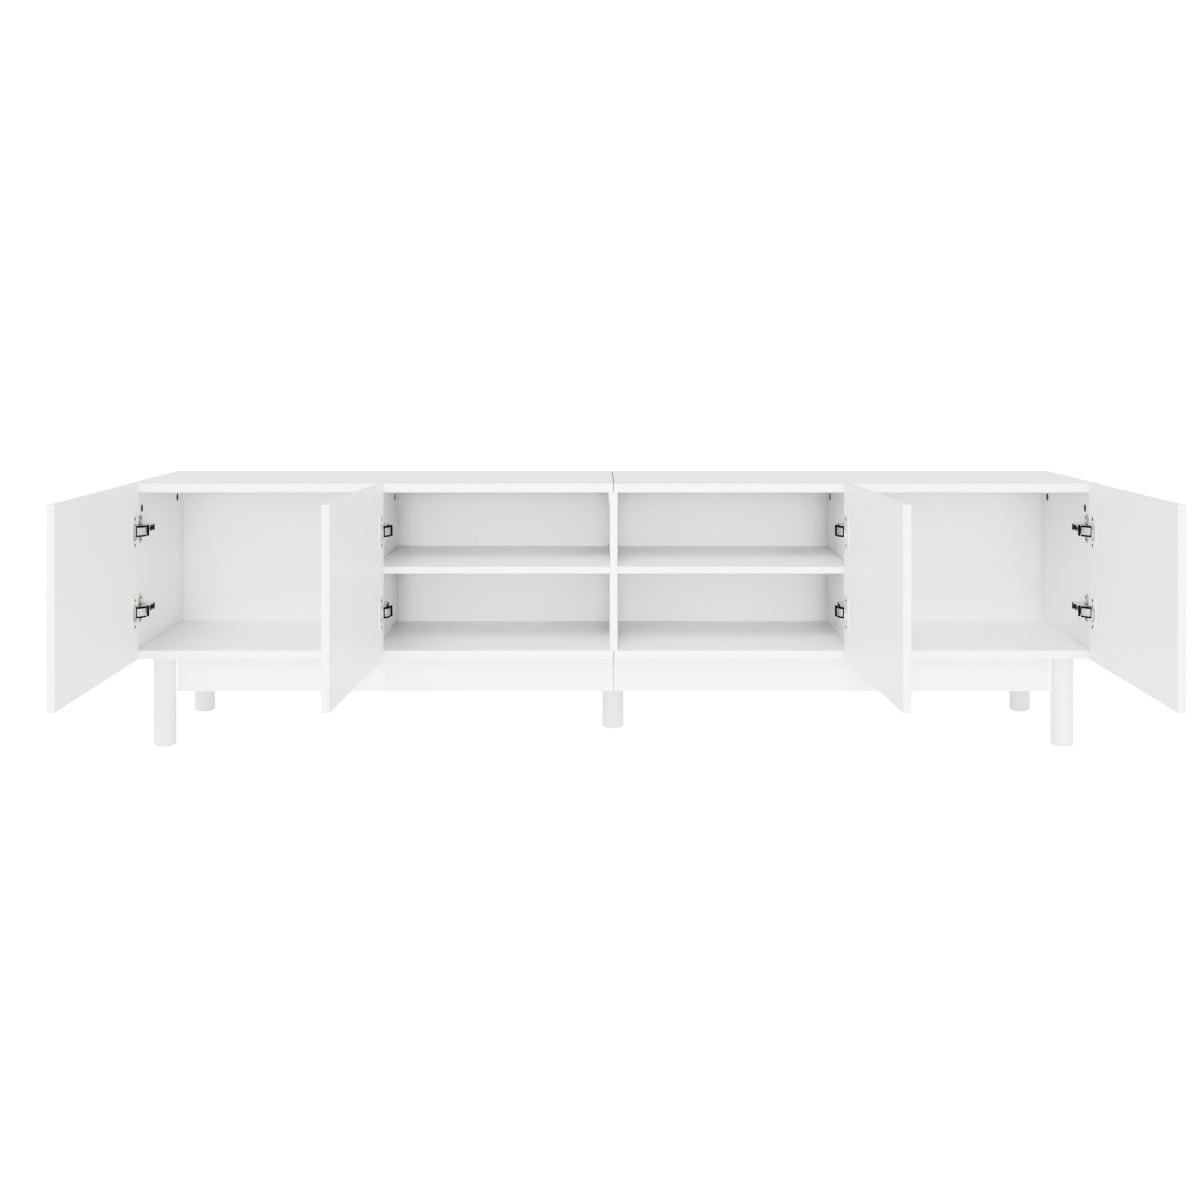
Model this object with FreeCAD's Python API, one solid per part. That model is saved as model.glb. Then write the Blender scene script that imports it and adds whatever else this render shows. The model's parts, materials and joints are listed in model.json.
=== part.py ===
"""A low TV stand with four doors, built as a flat-pack cabinet from boards and fittings.

Frame, in millimetres: the origin is on the floor under the middle of the cabinet, +X runs along its
width, -Y is the front and +Z is up. The doors stand open, which is the rest position.
"""
import FreeCAD
import Part
import math
import os

V = FreeCAD.Vector

# cabinet
WIDTH = 1800.0
DEPTH = 350.0
LEG_HEIGHT = 164.0
BODY_HEIGHT = 325.0
SEAM_GAP = 0.4

# boards
OUTER_BOARD = 16.0
INNER_BOARD = 13.0
BACK_BOARD = 5.0
BACK_SETBACK = 7.0
BACK_REACH = 3.5
GROOVE_DEPTH = 4.0
GROOVE_PLAY = 0.2
SHELF_TOP = 335.0
SHELF_PLAY = 0.5
SHELF_BACK_GAP = 1.0
SHELF_BOARD = 12.0
EDGE_EASE = 0.7

# apron under the front
APRON_BOTTOM = 99.0
APRON_BOARD = 15.0
APRON_SETBACK = 30.0
APRON_LEG_GAP = 1.5

# legs
LEG_RADIUS = 20.5
LEG_INSET_X = 63.0
LEG_FRONT_SETBACK = 27.0
LEG_REAR_SETBACK = 325.0
LEG_BEVEL = 1.0
GLIDE_RADIUS = 17.0
GLIDE_HEIGHT = 3.0
GLIDE_LET_IN = 1.0
HANGER_RADIUS = 4.0
HANGER_IN_LEG = 30.0
INSERT_RADIUS = 6.0
INSERT_FLANGE_RADIUS = 9.0
INSERT_FLANGE_HEIGHT = 1.2
INSERT_LENGTH = 13.0
INSERT_HOLE_DEPTH = 14.0
GLIDE_BEVEL = 0.6
CENTRE_PLATE_SIZE = (100.0, 60.0, 2.5)
CENTRE_PLATE_SCREW_INSET = 9.0

# doors
DOOR_BOARD = 13.0
DOOR_GAP = 2.0
DOOR_RISE = 1.5
OUTER_REVEAL = 1.0
INNER_REVEAL = 1.5
DOOR_WIDTH = 447.0
SWING_CLEARANCE = 0.5
OUTER_PIVOT_FORWARD = 17.5
INNER_PIVOT_FORWARD = 18.8
OUTER_REST_ANGLE = 90.0
INNER_REST_ANGLE = 93.0

# concealed hinges
HINGE_FROM_ENDS = 88.0
CUP_EDGE_DISTANCE = 22.0
CUP_RADIUS = 17.5
CUP_DEPTH = 11.0
CUP_WALL = 0.8
FLANGE_WIDTH = 36.0
FLANGE_HEIGHT = 66.0
FLANGE_THICKNESS = 1.2
FLANGE_CORNER = 8.0
CUP_SCREW_SPACING = 48.0
CUP_SCREW_BITE = 9.0
PLATE_SETBACK = 37.0
WING_HEIGHT = 54.0
WING_WIDTH = 16.0
WING_THICKNESS = 2.0
WING_CORNER = 7.5
WING_SCREW_SPACING = 40.0
SADDLE_LENGTH = 52.0
SADDLE_WIDTH = 11.0
SADDLE_HEIGHT = 12.0
SADDLE_SHIFT = 4.0
SADDLE_CORNER = 1.5
ARM_HALF_HEIGHT = 7.0
ARM_SHEET = 1.2
ARM_RISE = 18.0
ARM_FLOOR = 6.0
ARM_REAR = 72.0
ARM_STRAIGHT = 18.0
ARM_MOUTH = 6.0
ARM_HOLLOW_PAST = 7.0
ARM_TIP_RADIUS = 3.0
ARM_TIP_STEPS = 8
ARM_SCREW_REAR = 56.0
ARM_SCREW_FRONT = 30.0
ARM_SCREW_RADIUS = 2.5
ARM_SCREW_HEAD_RADIUS = 4.0
ARM_SCREW_HEAD_HEIGHT = 1.6
ARM_SCREW_FOOT = 3.0
CROSS_REACH = 3.0
CROSS_HALF_WIDTH = 0.6
CROSS_DEPTH = 0.9
LEVER_PIVOT = (33.0, -6.0)
LEVER_LENGTH = 18.0
LEVER_CLOSED_ANGLE = 172.0
OUTER_LEVER_RATIO = 0.75
INNER_LEVER_RATIO = 0.9
LEVER_HALF_HEIGHT = 5.5
LEVER_SHEET = 2.2
LEVER_EYE_RADIUS = 2.8
PIN_RADIUS = 1.5
PIN_PLAY = 0.06
PIN_PROUD = 0.2

# cam locks, dowels, screws and brackets
CAM_RADIUS = 7.5
CAM_DEPTH = 10.0
CAM_FROM_EDGE = 34.0
CAM_SETBACKS = (50.0, 300.0)
CAM_CROSS_REACH = 5.0
CAM_CROSS_HALF_WIDTH = 0.9
CAM_CROSS_DEPTH = 1.5
CAM_BOLT_RADIUS = 3.0
CAM_BOLT_PLAY = 0.2
CAM_BOLT_IN_TOP = 11.0
DOWEL_RADIUS = 4.0
DOWEL_IN_PANEL = 20.0
DOWEL_IN_BOARD = 10.0
DOWEL_SETBACKS = (90.0, 260.0)
PANEL_SCREW_RADIUS = 2.5
PANEL_SCREW_HEAD_RADIUS = 4.5
PANEL_SCREW_HEAD_HEIGHT = 3.0
PANEL_SCREW_SOCKET = (2.0, 2.5)
PANEL_SCREW_LENGTH = 50.0
PANEL_SCREW_SETBACKS = (45.0, 305.0)
WOOD_SCREW_RADIUS = 1.75
WOOD_SCREW_HEAD_RADIUS = 3.5
WOOD_SCREW_HEAD_HEIGHT = 2.0
SCREW_BITE = 10.0
DRIVE_RADIUS = 1.2
DRIVE_DEPTH = 1.0
BRACKET_LEG = 25.0
BRACKET_WIDTH = 16.0
BRACKET_SHEET = 1.8
BRACKET_HOLE = 15.0
TOP_BRACKET_SETBACKS_LEFT = (60.0, 250.0)
TOP_BRACKET_SETBACKS_RIGHT = (95.0, 285.0)
APRON_BRACKETS_FROM_LEG = (60.0, 380.0)
APRON_BRACKET_FROM_SEAM = 60.0
LONG_SCREW_BITE = 46.0
SEAM_PLATE_SIZE = (80.0, 20.0, 2.0)
SEAM_PLATE_SETBACKS = (75.0, 300.0)
SEAM_SCREW_DISTANCES = (30.0, 16.0)
SHELF_PIN_RADIUS = 2.5
SHELF_PIN_IN_PANEL = 5.0
SHELF_PIN_IN_BAY = 8.0
SHELF_PIN_COLLAR = (4.0, 1.5)
SHELF_PIN_SETBACKS = (40.0, 300.0)
CUT_PAST = 1.0

# worked out from the sizes above
HALF = WIDTH / 2
FRONT = -DEPTH / 2
BACK = DEPTH / 2
BODY_BOTTOM = LEG_HEIGHT
BODY_TOP = LEG_HEIGHT + BODY_HEIGHT
BAY_BOTTOM = BODY_BOTTOM + OUTER_BOARD
BAY_TOP = BODY_TOP - OUTER_BOARD
PARTITION_X = HALF / 2
GROOVE_FRONT = BACK - BACK_SETBACK - BACK_BOARD - GROOVE_PLAY
GROOVE_BACK = BACK - BACK_SETBACK + GROOVE_PLAY
SHELF_BOTTOM = SHELF_TOP - SHELF_BOARD
APRON_BACK = FRONT + APRON_SETBACK + APRON_BOARD
APRON_END = -HALF + LEG_INSET_X + LEG_RADIUS + APRON_LEG_GAP
DOOR_BOTTOM = BODY_BOTTOM + DOOR_RISE
DOOR_HEIGHT = BODY_HEIGHT
HINGE_HEIGHTS = (DOOR_BOTTOM + HINGE_FROM_ENDS, DOOR_BOTTOM + DOOR_HEIGHT - HINGE_FROM_ENDS)
X_AXIS = V(1, 0, 0)
Y_AXIS = V(0, 1, 0)
Z_AXIS = V(0, 0, 1)
DOWN = V(0, 0, -1)
INTO_DOOR = V(0, -1, 0)


def box(x, y, z):
    """A box between two corners, given as (low, high) along each axis."""
    corner = V(x[0], y[0], z[0])
    return Part.makeBox(x[1] - x[0], y[1] - y[0], z[1] - z[0], corner)


def rod(radius, start, direction, length):
    return Part.makeCylinder(radius, length, start, direction)


def plan_prism(points, low, high):
    """A prism from an outline in the horizontal plane."""
    corners = [V(x, y, low) for x, y in points]
    wire = Part.makePolygon(corners + corners[:1])
    return Part.Face(wire).extrude(V(0, 0, high - low))


def mirrored(shape):
    return shape.mirror(V(0, 0, 0), X_AXIS)


def both_sides(shapes):
    return shapes + [mirrored(shape) for shape in shapes]


def cut_all(shape, tools):
    if not tools:
        return shape
    return shape.cut(Part.makeCompound(tools))


def bevel_edges(shape, size):
    """Break the sharp edges of a turned part."""
    return shape.makeChamfer(size, shape.Edges)


def board_blank(x, y, z):
    """A plain board with its edge band's corners eased."""
    blank = box(x, y, z)
    return blank.makeFillet(EDGE_EASE, blank.Edges)


def flat_head_screw(tip, direction, length, recess):
    """A countersunk wood screw, given from its point to the top of its head.

    A screw without its recess is the tool that cuts its hole.
    """
    shank = rod(WOOD_SCREW_RADIUS, tip, direction, length - WOOD_SCREW_HEAD_HEIGHT)
    neck = tip + direction * (length - WOOD_SCREW_HEAD_HEIGHT)
    head = Part.makeCone(WOOD_SCREW_RADIUS, WOOD_SCREW_HEAD_RADIUS, WOOD_SCREW_HEAD_HEIGHT, neck, direction)
    screw = shank.fuse(head)
    if recess:
        drive = tip + direction * (length - DRIVE_DEPTH)
        screw = screw.cut(rod(DRIVE_RADIUS, drive, direction, 2 * DRIVE_DEPTH))
    return screw


# fastener places on the left half; the right half mirrors them

def panel_middles():
    """Where the upright panels fixed by cams and long screws stand in X."""
    return [-HALF + INNER_BOARD / 2, -PARTITION_X]


def cam_centres():
    """Each cam's panel middle, the panel face that shows it, and its depth."""
    places = []
    for middle in panel_middles():
        for setback in CAM_SETBACKS:
            places.append((middle, middle + INNER_BOARD / 2, FRONT + setback))
    return places


def cross_slots(face, y, z, reach, half_width, depth):
    """A cross recess in a face that looks along +X."""
    across = (face - depth, face + CUT_PAST)
    flat = box(across, (y - reach, y + reach), (z - half_width, z + half_width))
    upright = box(across, (y - half_width, y + half_width), (z - reach, z + reach))
    return [flat, upright]


def cam_lock_solids():
    solids = []
    for middle, face, y in cam_centres():
        start = V(face - CAM_DEPTH, y, BAY_TOP - CAM_FROM_EDGE)
        body = rod(CAM_RADIUS, start, X_AXIS, CAM_DEPTH)
        slots = cross_slots(face, y, start.z, CAM_CROSS_REACH, CAM_CROSS_HALF_WIDTH, CAM_CROSS_DEPTH)
        way_start = V(middle, y, start.z - CUT_PAST)
        bolt_way = rod(CAM_BOLT_RADIUS + CAM_BOLT_PLAY, way_start, Z_AXIS, CAM_RADIUS + 2 * CUT_PAST)
        solids.append(cut_all(body, slots).cut(bolt_way))
    return solids


def cam_bolt_solids():
    solids = []
    for middle, face, y in cam_centres():
        low = BAY_TOP - CAM_FROM_EDGE
        shank = rod(CAM_BOLT_RADIUS, V(middle, y, low), Z_AXIS, CAM_FROM_EDGE + CAM_BOLT_IN_TOP)
        solids.append(shank)
    return solids


def cam_holes():
    holes = []
    for middle, face, y in cam_centres():
        level = BAY_TOP - CAM_FROM_EDGE
        holes.append(rod(CAM_RADIUS, V(face - CAM_DEPTH, y, level), X_AXIS, CAM_DEPTH + CUT_PAST))
    return holes


def dowel_solids():
    """Dowels at the top and bottom of each upright panel of the left half."""
    solids = []
    length = DOWEL_IN_PANEL + DOWEL_IN_BOARD
    for middle in panel_middles():
        for setback in DOWEL_SETBACKS:
            y = FRONT + setback
            top_start = V(middle, y, BAY_TOP - DOWEL_IN_PANEL)
            low_start = V(middle, y, BAY_BOTTOM - DOWEL_IN_BOARD)
            solids.append(rod(DOWEL_RADIUS, top_start, Z_AXIS, length))
            solids.append(rod(DOWEL_RADIUS, low_start, Z_AXIS, length))
    return solids


def panel_screw_solids():
    """Long screws up through the bottom board into each upright panel of the left half."""
    solids = []
    for middle in panel_middles():
        for setback in PANEL_SCREW_SETBACKS:
            start = V(middle, FRONT + setback, BODY_BOTTOM)
            head = Part.makeCone(PANEL_SCREW_HEAD_RADIUS, PANEL_SCREW_RADIUS, PANEL_SCREW_HEAD_HEIGHT,
                                 start, Z_AXIS)
            shank = rod(PANEL_SCREW_RADIUS, start, Z_AXIS, PANEL_SCREW_LENGTH)
            solids.append(head.fuse(shank))
    return solids


def screw_sockets():
    """The hexagonal recess in each long screw's head."""
    radius, depth = PANEL_SCREW_SOCKET
    turns = [math.radians(60 * step) for step in range(6)]
    tools = []
    for middle in panel_middles():
        for setback in PANEL_SCREW_SETBACKS:
            y = FRONT + setback
            corners = [(middle + radius * math.cos(turn), y + radius * math.sin(turn)) for turn in turns]
            tools.append(plan_prism(corners, BODY_BOTTOM - CUT_PAST, BODY_BOTTOM + depth))
    return tools


# boards

def back_groove(x_low, x_high, z_low, z_high):
    return box((x_low, x_high), (GROOVE_FRONT, GROOVE_BACK), (z_low, z_high))


def long_back_groove(z_low, z_high):
    """The groove along a top or bottom board, from under the side panel to the seam."""
    return back_groove(-HALF + INNER_BOARD - GROOVE_DEPTH, 0, z_low, z_high)


def upright_back_groove(x_low, x_high):
    return back_groove(x_low, x_high, BAY_BOTTOM - CUT_PAST, BAY_TOP + CUT_PAST)


def top_board_left():
    board = board_blank((-HALF, -SEAM_GAP / 2), (FRONT, BACK), (BAY_TOP, BODY_TOP))
    groove = long_back_groove(BAY_TOP - CUT_PAST, BAY_TOP + GROOVE_DEPTH)
    return cut_all(board, [groove] + cam_bolt_solids() + dowel_solids())


def corner_leg_places():
    return [(-HALF + LEG_INSET_X, FRONT + LEG_FRONT_SETBACK), (-HALF + LEG_INSET_X, FRONT + LEG_REAR_SETBACK)]


def insert_holes():
    holes = []
    for x, y in corner_leg_places():
        start = V(x, y, BODY_BOTTOM)
        holes.append(rod(INSERT_RADIUS, start, Z_AXIS, INSERT_HOLE_DEPTH))
        holes.append(rod(INSERT_FLANGE_RADIUS, start, Z_AXIS, INSERT_FLANGE_HEIGHT))
    return holes


def bottom_board_left():
    board = board_blank((-HALF, -SEAM_GAP / 2), (FRONT, BACK), (BODY_BOTTOM, BAY_BOTTOM))
    groove = long_back_groove(BAY_BOTTOM - GROOVE_DEPTH, BAY_BOTTOM + CUT_PAST)
    tools = [groove] + panel_screw_solids() + dowel_solids() + insert_holes()
    tools += under_board_screws() + seam_long_screws()
    return cut_all(board, tools)


def side_panel_left():
    panel = board_blank((-HALF, -HALF + INNER_BOARD), (FRONT, BACK), (BAY_BOTTOM, BAY_TOP))
    edge = -HALF + INNER_BOARD
    groove = upright_back_groove(edge - GROOVE_DEPTH, edge + CUT_PAST)
    tools = [groove] + cam_holes() + cam_bolt_solids() + dowel_solids() + panel_screw_solids()
    return cut_all(panel, tools + plate_screws(-HALF, INNER_BOARD))


def partition_left():
    low = -PARTITION_X - INNER_BOARD / 2
    high = -PARTITION_X + INNER_BOARD / 2
    panel = board_blank((low, high), (FRONT, BACK), (BAY_BOTTOM, BAY_TOP))
    left_groove = upright_back_groove(low - CUT_PAST, low + GROOVE_DEPTH)
    right_groove = upright_back_groove(high - GROOVE_DEPTH, high + CUT_PAST)
    tools = [left_groove, right_groove] + cam_holes() + cam_bolt_solids() + dowel_solids()
    tools += panel_screw_solids() + plate_screws(-PARTITION_X, INNER_BOARD / 2) + pin_holes()
    return cut_all(panel, tools)


def centre_panel():
    half = INNER_BOARD / 2
    panel = board_blank((-half, half), (FRONT, BACK), (BAY_BOTTOM, BAY_TOP))
    grooves = both_sides([upright_back_groove(-half - CUT_PAST, -half + GROOVE_DEPTH)])
    tools = grooves + both_sides(pin_holes()) + bracket_panel_screws() + seam_long_screws()
    return cut_all(panel, tools)


def bay_limits():
    """The clear width of the outer and of the inner bay of the left half."""
    half = INNER_BOARD / 2
    outer = (-HALF + INNER_BOARD, -PARTITION_X - half)
    inner = (-PARTITION_X + half, -half)
    return outer, inner


def back_panel(bay):
    across = (bay[0] - BACK_REACH, bay[1] + BACK_REACH)
    deep = (BACK - BACK_SETBACK - BACK_BOARD, BACK - BACK_SETBACK)
    return box(across, deep, (BAY_BOTTOM - BACK_REACH, BAY_TOP + BACK_REACH))


def shelf_left():
    inner = bay_limits()[1]
    across = (inner[0] + SHELF_PLAY, inner[1] - SHELF_PLAY)
    deep = (FRONT, GROOVE_FRONT - SHELF_BACK_GAP)
    return board_blank(across, deep, (SHELF_BOTTOM, SHELF_TOP))


def shelf_pin_places():
    """Each pin's hole mouth and the direction that the pin points into the bay."""
    inner = bay_limits()[1]
    places = []
    for setback in SHELF_PIN_SETBACKS:
        places.append((inner[0], FRONT + setback, 1))
        places.append((inner[1], FRONT + setback, -1))
    return places


def pin_holes():
    holes = []
    level = SHELF_BOTTOM - SHELF_PIN_RADIUS
    for x, y, side in shelf_pin_places():
        start = V(x - SHELF_PIN_IN_PANEL * side, y, level)
        holes.append(rod(SHELF_PIN_RADIUS, start, X_AXIS * side, SHELF_PIN_IN_PANEL + CUT_PAST))
    return holes


def shelf_pin_solids():
    """Round pins whose collar is flattened under the shelf."""
    radius, thickness = SHELF_PIN_COLLAR
    level = SHELF_BOTTOM - SHELF_PIN_RADIUS
    shelf_space = box((-HALF, HALF), (FRONT, BACK), (SHELF_BOTTOM, SHELF_TOP))
    solids = []
    for x, y, side in shelf_pin_places():
        start = V(x - SHELF_PIN_IN_PANEL * side, y, level)
        stem = rod(SHELF_PIN_RADIUS, start, X_AXIS * side, SHELF_PIN_IN_PANEL + SHELF_PIN_IN_BAY)
        collar = rod(radius, V(x, y, level), X_AXIS * side, thickness)
        solids.append(stem.fuse(collar.cut(shelf_space)))
    return solids


# apron

def apron_left():
    deep = (FRONT + APRON_SETBACK, APRON_BACK)
    board = board_blank((APRON_END, -SEAM_GAP), deep, (APRON_BOTTOM, BODY_BOTTOM))
    return cut_all(board, apron_screws())


def span(start, reach):
    """The (low, high) pair from a start over a signed reach."""
    return (min(start, start + reach), max(start, start + reach))


def top_bracket(x, y, side):
    """A steel angle with one leaf under the top board and one on the centre panel."""
    across = (y - BRACKET_WIDTH / 2, y + BRACKET_WIDTH / 2)
    flat = box(span(x, side * BRACKET_LEG), across, (BAY_TOP - BRACKET_SHEET, BAY_TOP))
    upright = box(span(x, side * BRACKET_SHEET), across, (BAY_TOP - BRACKET_LEG, BAY_TOP))
    return flat.fuse(upright).removeSplitter()


def bracket_places():
    """Brackets under the top boards beside the centre panel: x, y and side.

    The two sides are staggered, so that their screws miss each other in the thin panel.
    """
    half = INNER_BOARD / 2
    left = [(-half, FRONT + setback, -1) for setback in TOP_BRACKET_SETBACKS_LEFT]
    right = [(half, FRONT + setback, 1) for setback in TOP_BRACKET_SETBACKS_RIGHT]
    return left + right


def top_brackets():
    holes = bracket_board_screws() + bracket_panel_screws()
    return [cut_all(top_bracket(x, y, side), holes) for x, y, side in bracket_places()]


def bracket_board_screws(recess=False):
    screws = []
    for x, y, side in bracket_places():
        tip = V(x + side * BRACKET_HOLE, y, BAY_TOP + SCREW_BITE)
        screws.append(flat_head_screw(tip, DOWN, SCREW_BITE + BRACKET_SHEET, recess))
    return screws


def bracket_panel_screws(recess=False):
    screws = []
    for x, y, side in bracket_places():
        tip = V(x - side * SCREW_BITE, y, BAY_TOP - BRACKET_HOLE)
        screws.append(flat_head_screw(tip, X_AXIS * side, SCREW_BITE + BRACKET_SHEET, recess))
    return screws


def apron_bracket_places():
    return [APRON_END + distance for distance in APRON_BRACKETS_FROM_LEG] + [-APRON_BRACKET_FROM_SEAM]


def apron_brackets():
    """Brackets behind the left apron, turned so that one leaf lies on the apron's back."""
    holes = apron_screws() + apron_board_screws()
    solids = []
    for x in apron_bracket_places():
        across = (x - BRACKET_WIDTH / 2, x + BRACKET_WIDTH / 2)
        upright = box(across, span(APRON_BACK, BRACKET_SHEET), (BODY_BOTTOM - BRACKET_LEG, BODY_BOTTOM))
        flat = box(across, span(APRON_BACK, BRACKET_LEG), (BODY_BOTTOM - BRACKET_SHEET, BODY_BOTTOM))
        solids.append(cut_all(upright.fuse(flat).removeSplitter(), holes))
    return solids


def apron_screws(recess=False):
    """Screws from behind into the left apron."""
    screws = []
    for x in apron_bracket_places():
        tip = V(x, APRON_BACK - SCREW_BITE, BODY_BOTTOM - BRACKET_HOLE)
        screws.append(flat_head_screw(tip, Y_AXIS, SCREW_BITE + BRACKET_SHEET, recess))
    return screws


def apron_board_screws(recess=False):
    screws = []
    for x in apron_bracket_places():
        tip = V(x, APRON_BACK + BRACKET_HOLE, BODY_BOTTOM + SCREW_BITE)
        screws.append(flat_head_screw(tip, DOWN, SCREW_BITE + BRACKET_SHEET, recess))
    return screws


# plates across the seam, under the bottom boards

def seam_plate_screw_places():
    places = []
    for setback in SEAM_PLATE_SETBACKS:
        for distance in SEAM_SCREW_DISTANCES:
            places.append((-distance, FRONT + setback))
    return places


def centre_plate_screw_places():
    across = CENTRE_PLATE_SIZE[0] / 2 - CENTRE_PLATE_SCREW_INSET
    deep = CENTRE_PLATE_SIZE[1] / 2 - CENTRE_PLATE_SCREW_INSET
    return [(-across, -deep), (-across, deep)]


def screws_up(places, sheet, recess=False):
    screws = []
    for x, y in places:
        tip = V(x, y, BODY_BOTTOM + SCREW_BITE)
        screws.append(flat_head_screw(tip, DOWN, SCREW_BITE + sheet, recess))
    return screws


def under_board_screws():
    """All the short screws that go up into the left bottom board."""
    screws = screws_up(seam_plate_screw_places(), SEAM_PLATE_SIZE[2])
    screws += screws_up(centre_plate_screw_places(), CENTRE_PLATE_SIZE[2])
    return screws + apron_board_screws()


def seam_plates():
    length, width, sheet = SEAM_PLATE_SIZE
    holes = both_sides(screws_up(seam_plate_screw_places(), sheet)) + seam_long_screws()
    solids = []
    for setback in SEAM_PLATE_SETBACKS:
        deep = (FRONT + setback - width / 2, FRONT + setback + width / 2)
        plate = box((-length / 2, length / 2), deep, (BODY_BOTTOM - sheet, BODY_BOTTOM))
        solids.append(cut_all(plate, holes))
    return solids


def seam_long_screws(recess=False):
    """Screws through the seam plates, up the seam into the centre panel."""
    sheet = SEAM_PLATE_SIZE[2]
    screws = []
    for setback in SEAM_PLATE_SETBACKS:
        tip = V(0, FRONT + setback, BODY_BOTTOM + LONG_SCREW_BITE)
        screws.append(flat_head_screw(tip, DOWN, LONG_SCREW_BITE + sheet, recess))
    return screws


# legs

def leg(x, y, top):
    """A turned leg that stands on its let-in glide and is bored for its hanger bolt."""
    low = GLIDE_HEIGHT - GLIDE_LET_IN
    body = bevel_edges(rod(LEG_RADIUS, V(x, y, low), Z_AXIS, top - low), LEG_BEVEL)
    recess = rod(GLIDE_RADIUS, V(x, y, 0), Z_AXIS, GLIDE_HEIGHT)
    bore = rod(HANGER_RADIUS, V(x, y, top - HANGER_IN_LEG), Z_AXIS, HANGER_IN_LEG + CUT_PAST)
    return body.cut(recess).cut(bore)


def leg_glide(x, y):
    return bevel_edges(rod(GLIDE_RADIUS, V(x, y, 0), Z_AXIS, GLIDE_HEIGHT), GLIDE_BEVEL)


def hanger_bolt(x, y, top, reach):
    return rod(HANGER_RADIUS, V(x, y, top - HANGER_IN_LEG), Z_AXIS, HANGER_IN_LEG + reach)


def insert_nut(x, y):
    start = V(x, y, BODY_BOTTOM)
    body = rod(INSERT_RADIUS, start, Z_AXIS, INSERT_LENGTH)
    flange = rod(INSERT_FLANGE_RADIUS, start, Z_AXIS, INSERT_FLANGE_HEIGHT)
    return body.fuse(flange).cut(rod(HANGER_RADIUS, start, Z_AXIS, INSERT_LENGTH))


def centre_plate():
    length, width, sheet = CENTRE_PLATE_SIZE
    plate = box((-length / 2, length / 2), (-width / 2, width / 2), (BODY_BOTTOM - sheet, BODY_BOTTOM))
    holes = both_sides(screws_up(centre_plate_screw_places(), sheet))
    return cut_all(plate, holes + [rod(HANGER_RADIUS, V(0, 0, BODY_BOTTOM - sheet), Z_AXIS, sheet)])


# hinges, built in the plan of a left-hand door: (across, deep) from the reference edge of its panel

def pivot_across(reveal, forward):
    """How far inside the reference edge the door turns, so that its back edge just clears the cabinet."""
    clear = DOOR_GAP - SWING_CLEARANCE
    return reveal + math.sqrt(clear * (2 * forward - DOOR_GAP - SWING_CLEARANCE))


def hinge_point(reference, across, deep, level=0.0):
    return V(reference + across, FRONT + deep, level)


def plate_screws(reference, face, recess=False):
    """The two screws of each mounting plate on one panel, heads level with the wing's face."""
    screws = []
    for height in HINGE_HEIGHTS:
        for side in (-1, 1):
            level = height + side * WING_SCREW_SPACING / 2
            tip = hinge_point(reference, face - SCREW_BITE, PLATE_SETBACK, level)
            screws.append(flat_head_screw(tip, X_AXIS, SCREW_BITE + WING_THICKNESS, recess))
    return screws


def rounded_block(centre, size, direction, corner):
    """A block round a centre, with its edges along one axis rounded."""
    low = centre - size / 2
    block = Part.makeBox(size.x, size.y, size.z, low)
    edges = [edge for edge in block.Edges if edge.tangentAt(edge.FirstParameter).isParallel(direction, 0.01)]
    return block.makeFillet(corner, edges)


def mounting_plates(reference, face):
    """A wing screwed to the panel, with the saddle that the arm sits on."""
    holes = plate_screws(reference, face) + arm_screws(reference, face)
    solids = []
    for height in HINGE_HEIGHTS:
        wing_centre = hinge_point(reference, face + WING_THICKNESS / 2, PLATE_SETBACK, height)
        wing = rounded_block(wing_centre, V(WING_THICKNESS, WING_WIDTH, WING_HEIGHT), X_AXIS, WING_CORNER)
        saddle_centre = hinge_point(reference, face + SADDLE_HEIGHT / 2, PLATE_SETBACK + SADDLE_SHIFT, height)
        saddle_size = V(SADDLE_HEIGHT, SADDLE_LENGTH, SADDLE_WIDTH)
        saddle = rounded_block(saddle_centre, saddle_size, X_AXIS, SADDLE_CORNER)
        solids.append(cut_all(wing.fuse(saddle).removeSplitter(), holes))
    return solids


def arm_screws(reference, face):
    """The fixing screw and the overlay screw of each arm."""
    solids = []
    for height in HINGE_HEIGHTS:
        for deep in (ARM_SCREW_REAR, ARM_SCREW_FRONT):
            bottom = hinge_point(reference, face + ARM_SCREW_FOOT, deep, height)
            neck = hinge_point(reference, face + ARM_RISE, deep, height)
            shank = rod(ARM_SCREW_RADIUS, bottom, X_AXIS, ARM_RISE - ARM_SCREW_FOOT)
            head = rod(ARM_SCREW_HEAD_RADIUS, neck, X_AXIS, ARM_SCREW_HEAD_HEIGHT)
            top = neck.x + ARM_SCREW_HEAD_HEIGHT
            slots = cross_slots(top, neck.y, height, CROSS_REACH, CROSS_HALF_WIDTH, CROSS_DEPTH)
            solids.append(cut_all(shank.fuse(head), slots))
    return solids


def arm_outline(reference, face):
    """The arm's side view: straight over its plate, then stepped to the lever's pivot."""
    across, deep = LEVER_PIVOT
    high = face + ARM_RISE
    low = face + ARM_FLOOR
    tip = []
    for step in range(ARM_TIP_STEPS + 1):
        turn = math.pi * (step / ARM_TIP_STEPS - 1)
        tip.append((across + ARM_TIP_RADIUS * math.cos(turn), deep + ARM_TIP_RADIUS * math.sin(turn)))
    points = [(low, ARM_REAR), (low, ARM_STRAIGHT)] + tip + [(high, ARM_STRAIGHT), (high, ARM_REAR)]
    return [(reference + x, FRONT + y) for x, y in points]


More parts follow.
